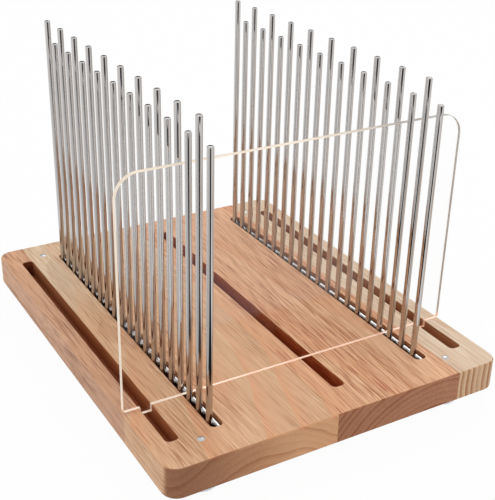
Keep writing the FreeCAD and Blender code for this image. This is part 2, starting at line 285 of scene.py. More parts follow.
class Graph:
    """Adds nodes to one node tree and links them."""

    def __init__(self, tree: bpy.types.NodeTree) -> None:
        """Starts on an existing tree."""
        self.tree = tree

    def node(self, kind: str, **settings: object) -> bpy.types.Node:
        """Adds a node and sets its properties.

        Args:
            kind: Blender's name for the node type.
            **settings: Properties of the node.

        Returns:
            The new node.
        """
        made = self.tree.nodes.new(kind)
        for key, setting in settings.items():
            setattr(made, key, setting)
        return made

    def feed(self, target: Socket, source: Source) -> None:
        """Links a socket to its source, or sets it where the source is a plain value.

        Args:
            target: The socket that is fed.
            source: A socket, a number or a triple. A triple gets an alpha of 1 where it is due.
        """
        if isinstance(source, bpy.types.NodeSocket):
            self.tree.links.new(source, target)
        elif isinstance(source, tuple) and len(source) == 3 and target.type == "RGBA":
            target.default_value = (*source, 1.0)
        else:
            target.default_value = source

    def math(self, operation: str, *values: Source, clamp: bool = False) -> Socket:
        """One step of arithmetic.

        Args:
            operation: Name of the Math node's operation.
            *values: Sockets or numbers.
            clamp: True to keep the result between 0 and 1.

        Returns:
            The result's socket.
        """
        made = self.node("ShaderNodeMath", operation=operation, use_clamp=clamp)
        for target, source in zip(made.inputs, values):
            self.feed(target, source)
        return made.outputs[0]

    def plus(self, first: Source, second: Source, clamp: bool = False) -> Socket:
        """The sum of two values."""
        return self.math("ADD", first, second, clamp=clamp)

    def minus(self, first: Source, second: Source) -> Socket:
        """The first value less the second."""
        return self.math("SUBTRACT", first, second)

    def times(self, first: Source, second: Source) -> Socket:
        """The product of two values."""
        return self.math("MULTIPLY", first, second)

    def times_plus(self, first: Source, second: Source, added: Source) -> Socket:
        """The product of two values, and a third added to it."""
        return self.math("MULTIPLY_ADD", first, second, added)

    def vector(self, operation: str, *values: Source) -> Socket:
        """One step of vector arithmetic.

        Args:
            operation: Name of the Vector Math node's operation.
            *values: Sockets, triples or numbers.

        Returns:
            The result's socket.
        """
        made = self.node("ShaderNodeVectorMath", operation=operation)
        inputs = [s for s in made.inputs if s.enabled]
        for target, source in zip(inputs, values):
            self.feed(target, source)
        return next(s for s in made.outputs if s.enabled)

    def in_mm(self, place: Socket) -> Socket:
        """A place in metres, turned to millimetres."""
        return self.vector("SCALE", place, MM_PER_M)

    def split(self, source: Socket) -> tuple[Socket, Socket, Socket]:
        """Takes a vector apart.

        Args:
            source: The vector.

        Returns:
            Its x, y and z.
        """
        made = self.node("ShaderNodeSeparateXYZ")
        self.feed(made.inputs[0], source)
        return (made.outputs[0], made.outputs[1], made.outputs[2])

    def join(self, x: Source, y: Source, z: Source) -> Socket:
        """Puts a vector together.

        Args:
            x: Its first part.
            y: Its second part.
            z: Its third part.

        Returns:
            The vector.
        """
        made = self.node("ShaderNodeCombineXYZ")
        for target, source in zip(made.inputs, (x, y, z)):
            self.feed(target, source)
        return made.outputs[0]

    def noise(
        self,
        place: Socket,
        scale: float,
        octaves: float,
        seed: Source = 0.0,
        roughness: float = 0.55,
    ) -> Socket:
        """Soft noise of 0 to 1, a little different for each seed.

        Args:
            place: Where it is read.
            scale: Features per unit of length.
            octaves: How many finer layers lie on the first.
            seed: The fourth coordinate.
            roughness: Strength of each layer, as a share of the one before.

        Returns:
            The noise value.
        """
        made = self.node("ShaderNodeTexNoise", noise_dimensions="4D")
        self.feed(made.inputs["Vector"], place)
        self.feed(made.inputs["W"], seed)
        made.inputs["Scale"].default_value = scale
        made.inputs["Detail"].default_value = octaves
        made.inputs["Roughness"].default_value = roughness
        return made.outputs["Fac"]

    def step(
        self,
        value: Source,
        low: Source,
        high: Source,
        to_low: float = 0.0,
        to_high: float = 1.0,
    ) -> Socket:
        """Maps low..high smoothly to another range, and holds it outside.

        Args:
            value: What is mapped.
            low: Where the ramp starts.
            high: Where the ramp ends.
            to_low: Result at the start.
            to_high: Result at the end.

        Returns:
            The mapped value.
        """
        made = self.node("ShaderNodeMapRange", interpolation_type="SMOOTHSTEP")
        for target, source in zip(made.inputs, (value, low, high, to_low, to_high)):
            self.feed(target, source)
        return made.outputs[0]

    def vary(self, noise: Socket, level: float, shares: Span) -> Socket:
        """A level that noise moves between two shares of it.

        Args:
            noise: The noise.
            level: The plain level.
            shares: The lowest and the highest share.

        Returns:
            The varied level.
        """
        return self.step(noise, *USUAL_NOISE, level * shares[0], level * shares[1])

    def mix(
        self, share: Source, first: Source, second: Source, blend: Blend = Blend.MIX
    ) -> Socket:
        """Mixes two colours.

        Args:
            share: How much of the second.
            first: The first colour.
            second: The second colour.
            blend: How they mix.

        Returns:
            The mixed colour.
        """
        made = self.node("ShaderNodeMix", data_type="RGBA", blend_type=blend.value)
        for name, source in (("Factor_Float", share), ("A_Color", first), ("B_Color", second)):
            target = next(s for s in made.inputs if s.identifier == name)
            self.feed(target, source)
        return next(s for s in made.outputs if s.identifier == "Result_Color")

    def bump(self, height: Socket, strength: float, distance: float) -> Socket:
        """A normal that is tilted by the slope of a height.

        Args:
            height: The height.
            strength: How much of the tilt shows, 0 to 1.
            distance: What a height of 1 stands for, in metres.

        Returns:
            The normal.
        """
        made = self.node("ShaderNodeBump")
        made.inputs["Strength"].default_value = strength
        made.inputs["Distance"].default_value = distance
        self.feed(made.inputs["Height"], height)
        return made.outputs["Normal"]

    def place_group(self, group: bpy.types.NodeTree, **values: Source) -> bpy.types.Node:
        """Puts a node group into this tree.

        Args:
            group: The group.
            **values: Its inputs, with _ in the place of a space.

        Returns:
            The group's node.
        """
        made = self.node("ShaderNodeGroup", node_tree=group)
        for name, source in values.items():
            self.feed(made.inputs[name.replace("_", " ")], source)
        return made


VALUE, VECTOR, COLOUR = "NodeSocketFloat", "NodeSocketVector", "NodeSocketColor"


def new_group(
    name: str, inputs: dict[str, str], outputs: dict[str, str]
) -> tuple[Graph, dict[str, Socket], bpy.types.Node]:
    """An empty node group with named sockets.

    Args:
        name: Name of the group.
        inputs: Socket names, each with Blender's socket type.
        outputs: The same for the outputs.

    Returns:
        The group's graph, its input sockets by name, and its output node.
    """
    tree = bpy.data.node_groups.new(name, "ShaderNodeTree")
    for label, kind in inputs.items():
        tree.interface.new_socket(label, in_out="INPUT", socket_type=kind)
    for label, kind in outputs.items():
        tree.interface.new_socket(label, in_out="OUTPUT", socket_type=kind)
    graph = Graph(tree)
    entry, leave = graph.node("NodeGroupInput"), graph.node("NodeGroupOutput")
    return graph, {label: entry.outputs[label] for label in inputs}, leave


def new_material(name: str) -> tuple[bpy.types.Material, Graph, bpy.types.Node]:
    """A material with an empty Principled BSDF.

    Args:
        name: Name of the material.

    Returns:
        The material, its graph and the Principled node.
    """
    material = bpy.data.materials.new(name)
    material.use_nodes = True
    graph = Graph(material.node_tree)
    shader = next(n for n in material.node_tree.nodes if n.type == "BSDF_PRINCIPLED")
    return material, graph, shader


# ---------------------------------------------------------------- shared effects


@dataclass(frozen=True)
class Layer:
    """One noise of the wood: features per millimetre, octaves, and what it adds to the seed."""

    scale: float
    octaves: float
    offset: float = 0.0

    def read(self, g: Graph, place: Socket, seed: Socket) -> Socket:
        """The noise at a place, 0 to 1."""
        return g.noise(place, self.scale, self.octaves, g.plus(seed, self.offset))

    def swing(self, g: Graph, place: Socket, seed: Socket) -> Socket:
        """The noise at a place, -0.5 to 0.5."""
        return g.minus(self.read(g, place, seed), 0.5)


@dataclass(frozen=True)
class GrainWork:
    """The wood group while it is built: its graph, its inputs and the places it reads.

    Lengths are in millimetres. `slow` is the place squeezed along Y, for the broad noises.
    `drift` is how far the grain wanders aside there, and `followed` is x with a share of that
    and the slant added. `end` is 1 on faces that look along Y, and `level` is |z| of the normal.
    """

    g: Graph
    given: dict[str, Socket]
    seed: Socket
    place: Socket
    x: Socket
    y: Socket
    z: Socket
    slow: Socket
    drift: Socket
    followed: Socket
    end: Socket
    level: Socket


@dataclass(frozen=True)
class LongGrain:
    """Wood that grew along Y, cut anywhere. On end grain it takes more oil and is darker.

    A squeeze is what y is multiplied by before a noise is read, so a small one gives long marks.
    A ramp is where a noise starts to count and where it counts in full. Lengths are in
    millimetres.
    """

    slow_squeeze: float = 0.3
    drift_noise: Layer = Layer(0.022, 2.0)
    follow: float = 0.35
    end_facing: Span = (0.15, 0.55)
    weakest_ring: float = 0.3
    fibre_squeeze: float = 0.03
    coarse_noise: Layer = Layer(1.0, 1.0)
    coarse_share: float = 0.8
    fine_noise: Layer = Layer(2.1, 2.0)
    fine_share: float = 0.9
    area_noise: Layer = Layer(0.026, 1.0, 11.0)
    area_ramp: Span = (0.35, 0.62)
    area_shares: Span = (0.35, 1.35)
    pore_squeeze: float = 0.035
    pore_noise: Layer = Layer(1.5, 0.0, 7.0)
    pore_ramp: Span = (0.56, 0.7)
    patch_noise: Layer = Layer(0.03, 1.0, 9.0)
    patch_ramp: Span = (0.35, 0.6)
    patch_least: float = 0.3
    pore_dark: float = 0.8
    end_fibres: float = 0.35
    cloud_noise: Layer = Layer(0.03, 2.0, 3.0)
    least_dark: float = 0.25
    bend_noise: Layer = Layer(0.011, 1.0, 5.0)
    bend: float = 90.0
    curl_noise: Layer = Layer(0.04, 1.0, 6.0)
    curl: float = 26.0
    flame_start: float = 0.08
    flame_level: Span = (0.1, 0.8)
    speckle_noise: Layer = Layer(1.6, 2.0)
    speckle_ramp: Span = (0.5, 0.8)
    speckle_dark: float = 0.25
    rough_ramp: Span = (-0.3, 0.3)
    roughness: Span = (0.46, 0.6)
    fibre_height: float = 0.35
    pore_height: float = 0.6

    def start(self) -> tuple[GrainWork, bpy.types.Node]:
        """Makes the group's sockets and works out the places that it reads.

        Returns:
            The group at work, and its output node.
        """
        inputs = {
            "Place": VECTOR, "Facing": VECTOR, "Pale": COLOUR, "Dark": COLOUR, "Warm": COLOUR,
            "End Tint": COLOUR, "Spacing": VALUE, "Heart X": VALUE, "Heart Z": VALUE,
            "Wander": VALUE, "Rings": VALUE, "End Rings": VALUE, "Streaks": VALUE,
            "Pores": VALUE, "Clouds": VALUE, "Flames": VALUE, "Flame Width": VALUE,
            "Flame Slant": VALUE, "Slant": VALUE, "Seed": VALUE,
        }  # fmt: skip
        outputs = {"Colour": COLOUR, "Roughness": VALUE, "Height": VALUE}
        g, given, leave = new_group("long_grain", inputs, outputs)
        place, seed = g.in_mm(given["Place"]), given["Seed"]
        x, y, z = g.split(place)
        slow = g.join(x, g.times(y, self.slow_squeeze), z)
        drift = g.times(self.drift_noise.swing(g, slow, seed), given["Wander"])
        followed = g.times_plus(y, given["Slant"], g.plus(x, g.times(drift, self.follow)))
        _, facing_y, facing_z = g.split(given["Facing"])
        end = g.step(g.math("ABSOLUTE", facing_y), *self.end_facing)
        level = g.math("ABSOLUTE", facing_z)
        return GrainWork(g, given, seed, place, x, y, z, slow, drift, followed, end, level), leave

    def rings(self, work: GrainWork) -> Socket:
        """Growth rings, as cylinders about a heart line parallel to Y.

        With the distance r from that line and the drift d, ring number n and its tone t are the
        whole part and the fraction squared of (r + d) / spacing. Each ring has its own strength,
        drawn by its number.

        Args:
            work: The group at work.

        Returns:
            The rings' tone, 0 to 1.
        """
        g, given = work.g, work.given
        from_x, from_z = g.minus(work.x, given["Heart X"]), g.minus(work.z, given["Heart Z"])
        reach = g.vector("LENGTH", g.join(from_x, 0.0, from_z))
        ring = g.math("DIVIDE", g.plus(reach, work.drift), given["Spacing"])
        tone = g.math("POWER", g.math("FRACT", ring), 2.0)
        drawn = g.node("ShaderNodeTexWhiteNoise", noise_dimensions="1D")
        g.feed(drawn.inputs["W"], g.plus(g.math("FLOOR", ring), work.seed))
        strength = g.step(drawn.outputs["Value"], 0.0, 1.0, self.weakest_ring, 1.0)
        return g.times(tone, strength)

    def fibres(self, work: GrainWork) -> Socket:
        """Fibres: two noises stretched along Y, stronger in some areas than in others.

        Args:
            work: The group at work.

        Returns:
            The fibres, negative where they are pale.
        """
        g, seed = work.g, work.seed
        stretched = g.join(work.followed, g.times(work.y, self.fibre_squeeze), work.z)
        coarse = g.times(self.coarse_noise.swing(g, stretched, seed), self.coarse_share)
        fibres = g.times_plus(self.fine_noise.swing(g, stretched, seed), self.fine_share, coarse)
        fibres = g.times(fibres, work.given["Streaks"])
        area = self.area_noise.read(g, work.slow, seed)
        return g.times(fibres, g.step(area, *self.area_ramp, *self.area_shares))

    def pores(self, work: GrainWork) -> Socket:
        """Pores: short dashes at the peaks of a stretched noise, in patches, off the end grain.

        Args:
            work: The group at work.

        Returns:
            The pores, 0 to 1.
        """
        g, seed = work.g, work.seed
        dashed = g.join(work.followed, g.times(work.y, self.pore_squeeze), work.z)
        pore = g.step(self.pore_noise.read(g, dashed, seed), *self.pore_ramp)
        patch = self.patch_noise.read(g, work.slow, seed)
        patch = g.step(patch, *self.patch_ramp, self.patch_least, 1.0)
        pore = g.times(g.times(pore, patch), work.given["Pores"])
        return g.times(pore, g.step(work.end, 0.0, 1.0, 1.0, 0.0))

    def dark_share(self, work: GrainWork, rings: Socket, fibres: Socket) -> Socket:
        """How much of the dark colour shows: rings, fibres and broad clouds added up.

        Args:
            work: The group at work.
            rings: The rings' tone.
            fibres: The fibres.

        Returns:
            The share, 0 to 1.
        """
        g, given = work.g, work.given
        more = g.minus(given["End Rings"], given["Rings"])
        ring_share = g.times_plus(work.end, more, given["Rings"])
        fibre_share = g.step(work.end, 0.0, 1.0, 1.0, self.end_fibres)
        share = g.times_plus(rings, ring_share, g.times(fibres, fibre_share))
        cloud = self.cloud_noise.swing(g, work.slow, work.seed)
        share = g.plus(share, g.times(cloud, given["Clouds"]))
        return g.plus(share, self.least_dark, clamp=True)

    def flames(self, work: GrainWork) -> Socket:
        """Broad flames on level faces, crisp on one side and soft on the other.

        A flame is (1 - frac((x + slant y + bend) / width)) ** 2, and it starts over a short
        ramp. The bend is slow noise, with a smaller curl on it.

        Args:
            work: The group at work.

        Returns:
            How much of the warm colour shows.
        """
        g, given, seed = work.g, work.given, work.seed
        bend = g.times(self.bend_noise.read(g, work.slow, seed), self.bend)
        bend = g.times_plus(self.curl_noise.read(g, work.slow, seed), self.curl, bend)
        across = g.times_plus(work.y, given["Flame Slant"], g.plus(work.x, bend))
        band = g.math("FRACT", g.math("DIVIDE", across, given["Flame Width"]))
        flame = g.math("POWER", g.minus(1.0, band), 2.0)
        flame = g.times(flame, g.step(band, 0.0, self.flame_start))
        flame = g.times(flame, given["Flames"])
        return g.times(flame, g.step(work.level, *self.flame_level))

    def end_colour(self, work: GrainWork, colour: Socket) -> Socket:
        """The colour of end grain: tinted, with dark speckles.

        Args:
            work: The group at work.
            colour: The colour of the same place on a long face.

        Returns:
            The darker colour.
        """
        g, given = work.g, work.given
        tinted = g.mix(1.0, colour, given["End Tint"], Blend.MULTIPLY)
        speckle = self.speckle_noise.read(g, work.place, work.seed)
        speckle = g.step(speckle, *self.speckle_ramp, 0.0, self.speckle_dark)
        return g.mix(speckle, tinted, given["Dark"], Blend.MULTIPLY)

    def make(self) -> bpy.types.NodeTree:
        """Builds the group, whose outputs are a colour, a roughness and a height.

        Returns:
            The node group.
        """
        work, leave = self.start()
        g, given = work.g, work.given
        fibres, pores = self.fibres(work), self.pores(work)
        share = self.dark_share(work, self.rings(work), fibres)
        colour = g.mix(share, given["Pale"], given["Dark"])
        colour = g.mix(self.flames(work), colour, given["Warm"])
        colour = g.mix(g.times(pores, self.pore_dark), colour, given["Dark"], Blend.MULTIPLY)
        colour = g.mix(work.end, colour, self.end_colour(work, colour))
        g.feed(leave.inputs["Colour"], colour)
        g.feed(leave.inputs["Roughness"], g.step(fibres, *self.rough_ramp, *self.roughness))
        height = g.minus(g.times(fibres, self.fibre_height), g.times(pores, self.pore_height))
        g.feed(leave.inputs["Height"], height)
        return g.tree


@dataclass(frozen=True)
class SlotShade:
    """A mask of the walls and floor of one routed slot, where the router's burn and painted shade
    go.

    It is 1 where |x - middle| is within the half width, y is between the slot's ends and z is
    below the mouth's chamfer, all with a little slack, and 0 elsewhere.
    """

    wall_slack: float = 0.06
    floor_slack: float = 0.1

    def make(self) -> bpy.types.NodeTree:
        """Builds the group. Its depth is 0 at the mouth and 1 at the floor.

        Returns:
            The node group.
        """
        inputs = {
            "Place": VECTOR, "Middle": VALUE, "Half Width": VALUE, "Front": VALUE,
            "Back": VALUE, "Mouth": VALUE, "Floor": VALUE,
        }  # fmt: skip
        g, given, leave = new_group("slot_shade", inputs, {"Inside": VALUE, "Depth": VALUE})
        x, y, z = g.split(g.in_mm(given["Place"]))
        aside = g.math("ABSOLUTE", g.minus(x, given["Middle"]))
        within = g.math("LESS_THAN", aside, g.plus(given["Half Width"], self.wall_slack))
        past_front = g.math("GREATER_THAN", y, g.minus(given["Front"], self.wall_slack))
        before_back = g.math("LESS_THAN", y, g.plus(given["Back"], self.wall_slack))
        within = g.times(g.times(within, past_front), before_back)
        under = g.math("LESS_THAN", z, given["Mouth"])
        above = g.math("GREATER_THAN", z, g.minus(given["Floor"], self.floor_slack))
        g.feed(leave.inputs["Inside"], g.times(within, g.times(under, above)))
        g.feed(leave.inputs["Depth"], g.step(z, given["Mouth"], given["Floor"]))
        return g.tree


# ---------------------------------------------------------------- finishes


@dataclass(frozen=True)
class RoutedSlot:
    """One routed slot, in millimetres: its middle in x, its width, and the tint inside it, which is
    partly wood burnt by the router and partly painted shade that deepens towards the floor.
    """

    middle: float
    width: float
    # Painted shade: these tints darken the slot's walls and floor, partly as wood burnt by the
    # router and partly as the shade inside the slot.
    tint: Colour
    floor_burn_and_shade: Colour
    front: float = -125.0
    back: float = 126.0
    mouth: float = 30.45
    floor: float = 18.8


@dataclass(frozen=True)
class Change:
    """A colour that goes from one to another between two places along an axis."""

    start: float
    stop: float
    first: Colour
    last: Colour

    def make(self, g: Graph, along: Socket) -> Socket:
        """The changing colour, where `along` is the coordinate in millimetres."""
        return g.mix(g.step(along, self.start, self.stop), self.first, self.last)


@dataclass(frozen=True)
class WoodFinish:
    """The wood of one stave. Lengths are in millimetres, and the bump's depth is in metres.

    Pale and dark change along Y, from the front of the board to its back, and so does the
    strength of the flames. The end tint changes along X. The heart is the x and z of the line
    that the growth rings go round.
    """

    name: str
    pale: Change
    dark: Change
    warm: Colour
    end_tint: Change
    spacing: float
    heart: tuple[float, float]
    wander: float
    rings: float
    end_rings: float
    streaks: float
    pores: float
    clouds: float
    seed: float
    slant: float = 0.0
    flames: Span = (0.3, 0.3)
    flame_change: Span = (-80.0, -10.0)
    flame_width: float = 34.0
    flame_slant: float = -0.3
    bump_strength: float = 0.35
    bump_depth: float = 0.25 * MM
    specular: float = 0.3

    def make(
        self,
        long_grain: bpy.types.NodeTree,
        slot_shade: bpy.types.NodeTree,
        slots: tuple[RoutedSlot, ...],
    ) -> bpy.types.Material:
        """Builds the material.

        Args:
            long_grain: The wood group.
            slot_shade: The slot mask group.
            slots: The slots that this stave takes part in.

        Returns:
            The material.
        """
        material, g, shader = new_material(self.name)
        where = g.node("ShaderNodeTexCoord")
        place = where.outputs["Object"]
        x, y, _ = g.split(g.in_mm(place))
        wood = g.place_group(
            long_grain,
            Place=place, Facing=where.outputs["Normal"],
            Pale=self.pale.make(g, y), Dark=self.dark.make(g, y), Warm=self.warm,
            End_Tint=self.end_tint.make(g, x), Spacing=self.spacing,
            Heart_X=self.heart[0], Heart_Z=self.heart[1], Wander=self.wander,
            Rings=self.rings, End_Rings=self.end_rings, Streaks=self.streaks,
            Pores=self.pores, Clouds=self.clouds,
            Flames=g.step(y, *self.flame_change, *self.flames),
            Flame_Width=self.flame_width, Flame_Slant=self.flame_slant,
            Slant=self.slant, Seed=self.seed,
        )  # fmt: skip
        colour = wood.outputs["Colour"]
        # Painted shade: inside each slot the wood is multiplied by a tint that darkens towards the
        # floor, partly the router's burn and partly the shade in the slot.
        for slot in slots:
            mask = g.place_group(
                slot_shade,
                Place=place, Middle=slot.middle, Half_Width=slot.width / 2, Front=slot.front,
                Back=slot.back, Mouth=slot.mouth, Floor=slot.floor,
            )  # fmt: skip
            tint = g.mix(mask.outputs["Depth"], slot.tint, slot.floor_burn_and_shade)
            shaded = g.mix(1.0, colour, tint, Blend.MULTIPLY)
            colour = g.mix(mask.outputs["Inside"], colour, shaded)
        normal = g.bump(wood.outputs["Height"], self.bump_strength, self.bump_depth)
        g.feed(shader.inputs["Base Color"], colour)
        g.feed(shader.inputs["Roughness"], wood.outputs["Roughness"])
        g.feed(shader.inputs["Normal"], normal)
        shader.inputs["Specular IOR Level"].default_value = self.specular
        return material


@dataclass(frozen=True)
class SteelFinish:
    """Polished steel, with the faint lines that drawing leaves along a bar.

    Lines and wear are features per millimetre, and the lines' depth is in metres. The shade is
    how bright the darkest metal is, as a share of the colour.
    """

    name: str
    colour: Colour
    roughness: float
    line_depth: float
    line_strength: float = 0.03
    lines: float = 2.6
    line_squeeze: float = 0.02
    line_share: float = 0.3
    wear: float = 0.09
    wear_seed: float = 4.0
    octaves: float = 2.0
    shade: float = 0.93
    spread: Span = (0.75, 1.3)

    def make(self) -> bpy.types.Material:
        """Builds the material.

        Returns:
            The material.
        """
        material, g, shader = new_material(self.name)
        place = g.in_mm(g.node("ShaderNodeTexCoord").outputs["Object"])
        x, y, z = g.split(place)
        drawn = g.join(x, y, g.times(z, self.line_squeeze))
        lines = g.noise(drawn, self.lines, self.octaves)
        worn = g.noise(place, self.wear, self.octaves, self.wear_seed)
        tone = g.plus(g.times(lines, self.line_share), g.times(worn, 1.0 - self.line_share))
        darker = tuple(channel * self.shade for channel in self.colour)
        g.feed(shader.inputs["Base Color"], g.mix(tone, darker, self.colour))
        g.feed(shader.inputs["Roughness"], g.vary(worn, self.roughness, self.spread))
        g.feed(shader.inputs["Normal"], g.bump(lines, self.line_strength, self.line_depth))
        shader.inputs["Metallic"].default_value = 1.0
        return material


@dataclass(frozen=True)
class ClearFinish:
    """Clear plastic that light goes through. Haze is features per millimetre."""

    name: str
    colour: Colour
    roughness: float
    transmission: float
    refraction: float
    haze: float = 0.12
    octaves: float = 2.0
    paler: float = 1.02
    spread: Span = (0.8, 1.2)

    def make(self) -> bpy.types.Material:
        """Builds the material.

        Returns:
            The material.
        """
        material, g, shader = new_material(self.name)
        place = g.in_mm(g.node("ShaderNodeTexCoord").outputs["Object"])
        haze = g.noise(place, self.haze, self.octaves)
        paler = tuple(min(1.0, channel * self.paler) for channel in self.colour)
        g.feed(shader.inputs["Base Color"], g.mix(haze, self.colour, paler))
        g.feed(shader.inputs["Roughness"], g.vary(haze, self.roughness, self.spread))
        shader.inputs["Transmission Weight"].default_value = self.transmission
        shader.inputs["IOR"].default_value = self.refraction
        return material


@dataclass(frozen=True)
class GlowPaintedEdge:
    """The cut edge of a clear plate, with painted light. Lengths are in millimetres.

    It glows though it is no lamp, a painted glow for the light that a cut edge gathers, and its
    colour and glow are painted brighter on the left, where x is small. Below the seat level it
    takes the seat tint, a painted reflection of the wood under it, but only a share of that on
    the far left. Its unevenness is features per millimetre.
    """

    name: str
    tint: Change
    seat_painted_reflection: Colour
    painted_glow: float = 0.25
    seat_level: float = 33.0
    seat_ramp: float = 2.0
    far_left: Span = (-82.0, -60.0)
    far_left_reflection_share: float = 0.35
    unevenness: float = 0.08
    octaves: float = 2.0
    palest: float = 0.15
    roughness: float = 0.35
    spread: Span = (0.8, 1.2)
    transmission: float = 0.3
    refraction: float = 1.49

    def make(self) -> bpy.types.Material:
        """Builds the material.

        Returns:
            The material.
        """
        material, g, shader = new_material(self.name)
        place = g.in_mm(g.node("ShaderNodeTexCoord").outputs["Object"])
        x, _, z = g.split(place)
        uneven = g.noise(place, self.unevenness, self.octaves)
        pale = g.step(uneven, *USUAL_NOISE, 0.0, self.palest)
        # Painted light: the edge's colour is brighter on the left and dimmer on the right.
        tint = g.mix(pale, self.tint.make(g, x), WHITE)
        # Painted reflection: below the seat level the edge takes the colour of the wood under it,
        # less of it on the far left.
        low = g.step(z, self.seat_level, self.seat_level + self.seat_ramp, 1.0, 0.0)
        low = g.times(low, g.step(x, *self.far_left, self.far_left_reflection_share, 1.0))
        tint = g.mix(low, tint, self.seat_painted_reflection)
        # Painted glow: the same tint is the base colour and the emission, so the edge glows though
        # it is no lamp.
        g.feed(shader.inputs["Base Color"], tint)
        g.feed(shader.inputs["Emission Color"], tint)
        g.feed(shader.inputs["Roughness"], g.vary(uneven, self.roughness, self.spread))
        shader.inputs["Emission Strength"].default_value = self.painted_glow
        shader.inputs["Transmission Weight"].default_value = self.transmission
        shader.inputs["IOR"].default_value = self.refraction
        return material


FRONT_PALE, FRONT_DARK = linear(240, 198, 158), linear(186, 122, 80)
PINK_TAN = WoodFinish(
    "wood_pink_tan",
    pale=Change(-93.0, -89.0, FRONT_PALE, linear(230, 182, 146)),
    dark=Change(-93.0, -89.0, FRONT_DARK, linear(146, 80, 50)),
    warm=linear(236, 168, 124), end_tint=Change(-122.0, -15.0, (0.43, 0.31, 0.26), (1.0, 0.9, 0.8)),
    spacing=5.2, heart=(-60.0, -70.0), wander=22.0, rings=0.2, end_rings=0.5, streaks=1.6,
    pores=0.95, clouds=0.7, flames=(0.75, 0.25), slant=0.03, seed=4.1,
)  # fmt: skip
# The two left staves share one grain, so it runs on from one to the other.
LIGHT_TAN = replace(
    PINK_TAN,
    name="wood_light_tan",
    pale=Change(0.0, 100.0, FRONT_PALE, linear(238, 212, 180)),
    dark=Change(0.0, 100.0, FRONT_DARK, linear(186, 140, 104)),
    streaks=1.3,
    pores=0.6,
)
RED_TAN = WoodFinish(
    "wood_red_tan",
    pale=Change(-100.0, 100.0, linear(252, 204, 161), linear(248, 198, 156)),
    dark=Change(-100.0, 100.0, linear(186, 113, 73), linear(182, 112, 72)),
    warm=linear(232, 158, 114),
    end_tint=Change(-8.0, 86.0, (0.5, 0.37, 0.31), (0.56, 0.43, 0.38)),
    spacing=4.2, heart=(66.0, -42.0), wander=5.0, rings=0.25, end_rings=0.8, streaks=1.5,
    pores=0.9, clouds=0.6, flames=(0.5, 0.5), flame_width=40.0, flame_slant=0.15,
    slant=-0.05, seed=8.6,
)  # fmt: skip
PALE = WoodFinish(
    "wood_pale",
    pale=Change(-100.0, 100.0, linear(246, 224, 198), linear(240, 214, 186)),
    dark=Change(-100.0, 100.0, linear(186, 134, 92), linear(184, 140, 100)),
    warm=linear(234, 202, 164),
    end_tint=Change(80.0, 120.0, (0.95, 0.86, 0.74), (0.88, 0.77, 0.66)),
    spacing=4.5, heart=(300.0, 24.0), wander=4.0, rings=0.2, end_rings=1.9, streaks=1.2,
    pores=0.4, clouds=0.3, flame_slant=0.0, seed=12.2,
)  # fmt: skip
ROD_STEEL = SteelFinish("polished_steel", (0.56, 0.54, 0.53), 0.03, 0.01 * MM)
SCREW_STEEL = SteelFinish("screw_steel", (0.55, 0.55, 0.56), 0.35, 0.03 * MM)
PLATE_FACE = ClearFinish("clear_acrylic", (0.995, 1.0, 0.998), 0.0, 1.0, 1.3)
# Plate edge with painted light: a glow painted brighter on the left, and a painted reflection of
# the wood along its foot.
PLATE_EDGE = GlowPaintedEdge(
    "clear_acrylic_edge",
    tint=Change(-10.0, 105.0, linear(246, 230, 208), linear(156, 147, 138)),
    seat_painted_reflection=linear(243, 192, 156),
)
FOOT_PLASTIC = ClearFinish("clear_foot", (0.6, 0.66, 0.74), 0.14, 0.8, 1.45)

# Tints painted inside the slots, at the mouth and at the floor: partly wood burnt by the router,
# partly painted shade that deepens towards the floor.
GUIDE_MOUTH_BURN_AND_SHADE, GUIDE_FLOOR_BURN_AND_SHADE = (0.66, 0.38, 0.24), (0.5, 0.25, 0.14)
COMB_MOUTH_BURN_AND_SHADE, COMB_FLOOR_BURN_AND_SHADE = (0.62, 0.42, 0.30), (0.3, 0.16, 0.1)
CENTRE_MOUTH_BURN_AND_SHADE, CENTRE_FLOOR_BURN_AND_SHADE = (0.62, 0.27, 0.14), (0.5, 0.17, 0.07)


# ---------------------------------------------------------------- the object


@dataclass
class Board:
    """The four staves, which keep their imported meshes, and the slots routed into them."""

    left_guide: RoutedSlot = RoutedSlot(-104.6, 8.4, GUIDE_MOUTH_BURN_AND_SHADE, GUIDE_FLOOR_BURN_AND_SHADE)
    left_comb: RoutedSlot = RoutedSlot(-75.7, 8.2, COMB_MOUTH_BURN_AND_SHADE, COMB_FLOOR_BURN_AND_SHADE)
    centre: RoutedSlot = RoutedSlot(10.2, 8.7, CENTRE_MOUTH_BURN_AND_SHADE, CENTRE_FLOOR_BURN_AND_SHADE)
    right_comb: RoutedSlot = RoutedSlot(75.7, 8.2, COMB_MOUTH_BURN_AND_SHADE, COMB_FLOOR_BURN_AND_SHADE)
    right_guide: RoutedSlot = RoutedSlot(104.6, 8.4, GUIDE_MOUTH_BURN_AND_SHADE, GUIDE_FLOOR_BURN_AND_SHADE)

    def dress(self) -> None:
        """Gives each stave its own wood, with the router's burn and painted shade where slots run
        through it.
        """
        long_grain, slot_shade = LongGrain().make(), SlotShade().make()
        woods: dict[str, tuple[WoodFinish, tuple[RoutedSlot, ...]]] = {
            "stave_left_edge": (PINK_TAN, (self.left_guide,)),
            "stave_left": (LIGHT_TAN, (self.left_guide, self.left_comb)),
            "stave_right": (RED_TAN, (self.centre, self.right_comb)),
            "stave_right_edge": (PALE, (self.right_guide,)),
        }
        for node, (finish, slots) in woods.items():
            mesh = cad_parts[node].data
            mesh.materials.clear()
            mesh.materials.append(finish.make(long_grain, slot_shade, slots))
            LOG.info("%s is %s", node, finish.name)


